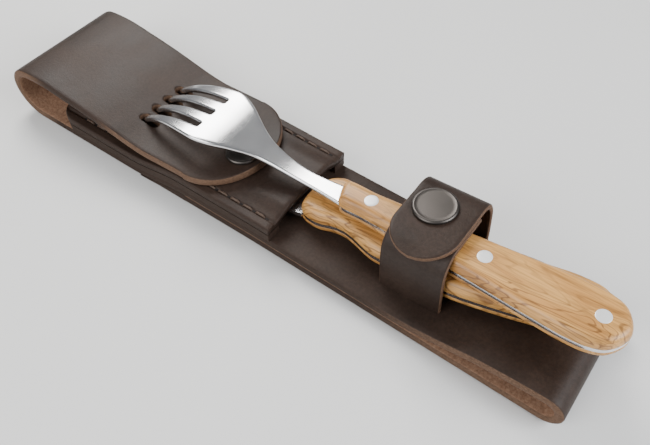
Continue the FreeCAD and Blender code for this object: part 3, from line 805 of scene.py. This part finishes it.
def cap_rings(radius, height):
    """Cap with a flat satin face, a slim rolled rim and an undercut edge."""
    return [
        (0.0005, height * 0.96),
        (radius * 0.40, height * 0.95),
        (radius * 0.72, height * 0.92),
        (radius * 0.83, height * 0.91),
        (radius * 0.865, height * 0.97),
        (radius * 0.90, height * 1.0),
        (radius * 0.945, height * 0.93),
        (radius * 0.985, height * 0.68),
        (radius, height * 0.42),
        (radius * 0.985, height * 0.16),
        (radius * 0.94, 0.02),
        (radius * 0.5, 0.02),
        (0.0005, 0.02),
    ]


keeper_cap = lathe("keeper_stud_cap", cap_rings(7.5, 1.35), gunmetal, TILT @ place(57.0, 3.9, 34.2))
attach(keeper_cap, "keeper_end")
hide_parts("keeper_snap_cap")

flap_cap = lathe("flap_stud_cap", cap_rings(6.25, 1.35), gunmetal, SNAP_PLACE @ place(0, 0, 1.68))
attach(flap_cap, "flap_end")
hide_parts("flap_snap_cap")

# ---------------------------------------------------------------- cutlery

KNIFE_PLACE = (
    place(17.0, -0.3, 11.75)
    @ Matrix.Rotation(math.radians(5.0), 4, "Z")
    @ Matrix.Rotation(math.radians(-4.0), 4, "Y")
)
FORK_PLACE = place(57.0, -1.1, 24.2) @ Matrix.Rotation(math.radians(-4.0), 4, "Y")
TANG = 1.2
KNIFE_SPOTS = [(14.0, 0.6), (51.0, -2.2), (86.0, -0.6)]
FORK_SPOTS = [(-21.0, 0.0), (20.0, 0.0), (57.0, -0.3)]


def knife_outline():
    near = [(-6.3, -2.0), (-5.4, -7.4), (-1.5, -9.2), (3.0, -9.5), (8.0, -8.4), (13.0, -8.6), (18.0, -10.2)]
    near += [(24.0, -12.4), (32.0, -13.3), (44.0, -14.0), (54.0, -14.2), (66.0, -13.0), (78.0, -11.2)]
    near += [(90.0, -8.4)]
    far = [(-5.0, 3.5), (-3.0, 8.0), (2.0, 10.8), (8.0, 10.0), (14.0, 7.8), (26.0, 6.9), (42.0, 7.0)]
    far += [(60.0, 7.8)]
    far += [(76.0, 8.9), (88.0, 9.6), (96.0, 8.2), (100.0, 3.5), (98.6, -3.2)]
    return smooth_path([(u, v, 0) for u, v in near + far[::-1]], 0.8, True)


def fork_outline():
    half = [(-31.0, 4.4), (-22.0, 4.8), (-12.0, 5.4), (0.0, 6.2), (15.0, 7.3), (30.0, 8.5), (42.0, 9.4)]
    half += [(50.0, 9.8), (57.0, 9.2), (62.0, 7.0)]
    near = [(-32.3, -2.2)] + [(u, -v) for u, v in half]
    far = [(-33.6, 2.2)] + [(u - 1.5 if u < -25 else u, v) for u, v in half] + [(65.6, 0.0)]
    return smooth_path([(u, v, 0) for u, v in near + far[::-1]], 0.8, True)


def inset(points, distance):
    moved = []
    count = len(points)
    for i, p in enumerate(points):
        along = (points[(i + 2) % count] - points[i - 2]).normalized()
        moved.append(p + Vector((-along.y, along.x, 0)) * distance)
    return moved


ROUNDED = [(0.0, -0.04), (0.03, -0.08), (0.30, -0.06), (0.46, 0.04), (0.60, 0.22), (0.72, 0.44), (0.82, 0.78)]
ROUNDED += [(0.90, 1.22), (0.955, 1.75), (0.985, 2.3), (1.0, 2.9)]
PLATE = [(0.0, 0.12), (0.05, 0.03), (0.12, 0.0), (0.88, 0.0), (0.95, 0.03), (1.0, 0.12)]


def layered(name, outline, levels, flat, top, mat, matrix=None):
    """Solid over a plan outline: each level gives a share of the height and how far its edge is drawn in."""
    rise = top - flat
    verts = []
    count = len(outline)
    for share, back in levels:
        verts += [(p + Vector((0, 0, flat + rise * share))) * MM for p in inset(outline, back)]
    faces = ring_faces(len(levels), count)
    faces.append(tuple(range(count)))
    faces.append(tuple(range((len(levels) - 1) * count, len(levels) * count)))
    return make_object(name, verts, faces, mat, matrix)


def rivet_pins(name, spots, low, high, matrix):
    profile = [(0.0005, high + 0.10), (1.4, high + 0.09), (2.1, high + 0.06), (2.40, high)]
    profile += [(2.52, high - 0.10), (2.55, high - 0.3), (2.55, low + 0.3), (2.52, low + 0.1)]
    profile += [(2.40, low), (0.0005, low - 0.08)]
    pins = []
    for i, (u, v) in enumerate(spots):
        pins.append(lathe("%s_%d" % (name, i), profile, rivet_metal, matrix @ place(u, v, 0), 48))
    return join(name, pins)


def build_handle(body, outline, spots, lower, upper, mat, matrix):
    top = layered(body + "_upper_wood", outline, ROUNDED, TANG - 0.4, TANG + upper, mat, matrix)
    bottom = layered(body + "_lower_wood", outline, ROUNDED, -TANG + 0.4, -TANG - lower, mat, matrix)
    pins = rivet_pins(body + "_rivet_pins", spots, -TANG - lower, TANG + upper, matrix)
    pieces = [(top, "_upper_scale", "olive_wood"), (bottom, "_lower_scale", "olive_wood")]
    pieces += [(pins, "_rivets", "rivet_metal")]
    for piece, ending, name in pieces:
        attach(piece, body)
        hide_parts(body + ending)


build_handle("knife", knife_outline(), KNIFE_SPOTS, 2.6, 4.2, knife_wood, KNIFE_PLACE)
build_handle("fork", fork_outline(), FORK_SPOTS, 2.4, 3.8, fork_wood, FORK_PLACE)


# Profile of the fork's blank seen from the side, and half its width, both from tip to handle.
FORK_SIDE = [(-118.3, -0.9), (-117.4, 0.6), (-116.4, 1.6), (-112.0, 4.4), (-105.0, 7.2), (-97.0, 9.0)]
FORK_SIDE += [(-88.0, 9.6), (-80.0, 8.3), (-72.0, 5.8), (-64.0, 3.3), (-56.0, 1.3), (-48.0, 0.2)]
FORK_SIDE += [(-40.0, 0.0), (-33.0, 0.0), (-28.0, 0.0)]
FORK_HALF = [(-119.6, 10.7), (-112.0, 11.5), (-102.0, 12.7), (-94.0, 13.7), (-87.0, 14.0), (-81.0, 12.2)]
FORK_HALF += [(-75.0, 8.9), (-68.0, 5.5), (-61.0, 3.9), (-53.0, 3.2), (-45.0, 3.1), (-35.0, 3.7)]
FORK_HALF += [(-28.0, 4.4)]
TINE_ROOT = -90.0
ROOT_HALF_GAP = 1.15


def fork_half(u):
    curve = smooth_path([(a, b, 0) for a, b in FORK_HALF], 0.5)
    for p, q in zip(curve, curve[1:]):
        if p.x <= u <= q.x:
            return p.y + (q.y - p.y) * (u - p.x) / (q.x - p.x)
    return curve[-1].y


def fork_gap(u):
    """Middle and half width of an outer gap between tines; the middle gap has the same half width."""
    share = max(0.0, (TINE_ROOT - u) / 34.0)
    half = ROOT_HALF_GAP + share
    if u > TINE_ROOT:
        half = math.sqrt(max(0.0, ROOT_HALF_GAP**2 - (u - TINE_ROOT) ** 2))
    return 7.3 - 0.95 * share, half


def build_fork_steel():
    side = smooth_path([(u, 0, w) for u, w in FORK_SIDE], 0.8)
    palm = [p for p in side if p.x >= -89.4]
    widths = [fork_half(p.x) - 0.02 for p in palm]
    parts = [sweep("fork_palm", palm, path_normals(palm, CROSS), CROSS, widths, 2.0, 0.75, steel, 28)]
    prongs = [p for p in side if p.x <= -88.2]
    normals = path_normals(side, CROSS)[: len(prongs)]
    for outer in (False, True):
        for hand in (-1, 1):
            path = []
            halves = []
            for p in prongs:
                middle, gap = fork_gap(p.x)
                low, high = (middle + gap, fork_half(p.x) - 0.03) if outer else (gap, middle - gap)
                taper = 1 - 0.45 * (1 - smooth_step((p.x + 118.3) / 3.0))
                path.append(Vector((p.x, hand * (low + high) / 2, p.z - 0.02)))
                halves.append((high - low) / 2 * taper)
            parts.append(sweep("fork_tine", path, normals, CROSS, halves, 1.92, 0.7, steel, 8))
    parts.append(layered("fork_tang", fork_outline(), PLATE, -TANG, TANG, steel))
    blank = join("fork_steel_blank", parts)
    blank.data.transform(FORK_PLACE)
    return blank


fork_blank = build_fork_steel()
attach(fork_blank, "fork")
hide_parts("fork_steel")


def finish_node(name, mat):
    obj = nodes[name]
    obj.data.materials.clear()
    obj.data.materials.append(mat)


finish_node("knife_blade", steel)
finish_node("pocket_welt", pocket_leather)
for stud_part in ("keeper_snap_socket", "keeper_snap_stud", "flap_snap_socket", "flap_snap_stud"):
    finish_node(stud_part, inner_metal)

# ---------------------------------------------------------------- floor, light and camera


def build_floor():
    mat, tree, shader = new_material("pale_floor")
    mist = noise(tree, coords(tree), 3.0, 2.0)
    greys = [(0.3, (0.74, 0.74, 0.73)), (0.7, (0.80, 0.80, 0.79))]
    link(tree, ramp(tree, mist, greys), shader.inputs["Base Color"])
    shader.inputs["Roughness"].default_value = 0.65
    reach = 4.0
    verts = [(-reach, -reach, 0), (reach, -reach, 0), (reach, reach, 0), (-reach, reach, 0)]
    floor = make_object("floor", verts, [(0, 1, 2, 3)], mat, Matrix.Translation((0, 0, -0.0002)))


def area_light(name, spot, target, size, power, color):
    data = bpy.data.lights.new(name, "AREA")
    data.size = size
    data.energy = power
    data.color = color
    lamp = bpy.data.objects.new(name, data)
    bpy.context.scene.collection.objects.link(lamp)
    lamp.location = spot
    lamp.rotation_euler = (Vector(target) - Vector(spot)).to_track_quat("-Z", "Y").to_euler()


def build_world():
    world = bpy.data.worlds.new("studio")
    bpy.context.scene.world = world
    world.use_nodes = True
    back = world.node_tree.nodes["Background"]
    back.inputs[0].default_value = (0.80, 0.82, 0.85, 1)
    back.inputs[1].default_value = 0.28


LENS = 38.6
PITCH = 52.28
AZIMUTH = 36.21


def build_camera():
    data = bpy.data.cameras.new("camera")
    data.sensor_width = 36.0
    data.lens = LENS
    data.clip_start = 0.01
    data.clip_end = 20.0
    camera = bpy.data.objects.new("camera", data)
    bpy.context.scene.collection.objects.link(camera)
    camera.location = (0.1088, -0.1265, 0.2027)
    camera.rotation_euler = (math.radians(90.0 - PITCH), 0, math.radians(AZIMUTH))
    bpy.context.scene.camera = camera


build_floor()
build_world()
area_light("key", (-0.42, 0.30, 0.50), (0, 0, 0), 0.35, 5.4, (1.0, 0.98, 0.95))
area_light("side", (0.50, 0.10, 0.35), (0, 0, 0), 0.35, 4.0, (0.95, 0.97, 1.0))
area_light("front", (-0.15, -0.55, 0.40), (0, 0, 0), 0.50, 4.4, (1.0, 1.0, 1.0))
build_camera()
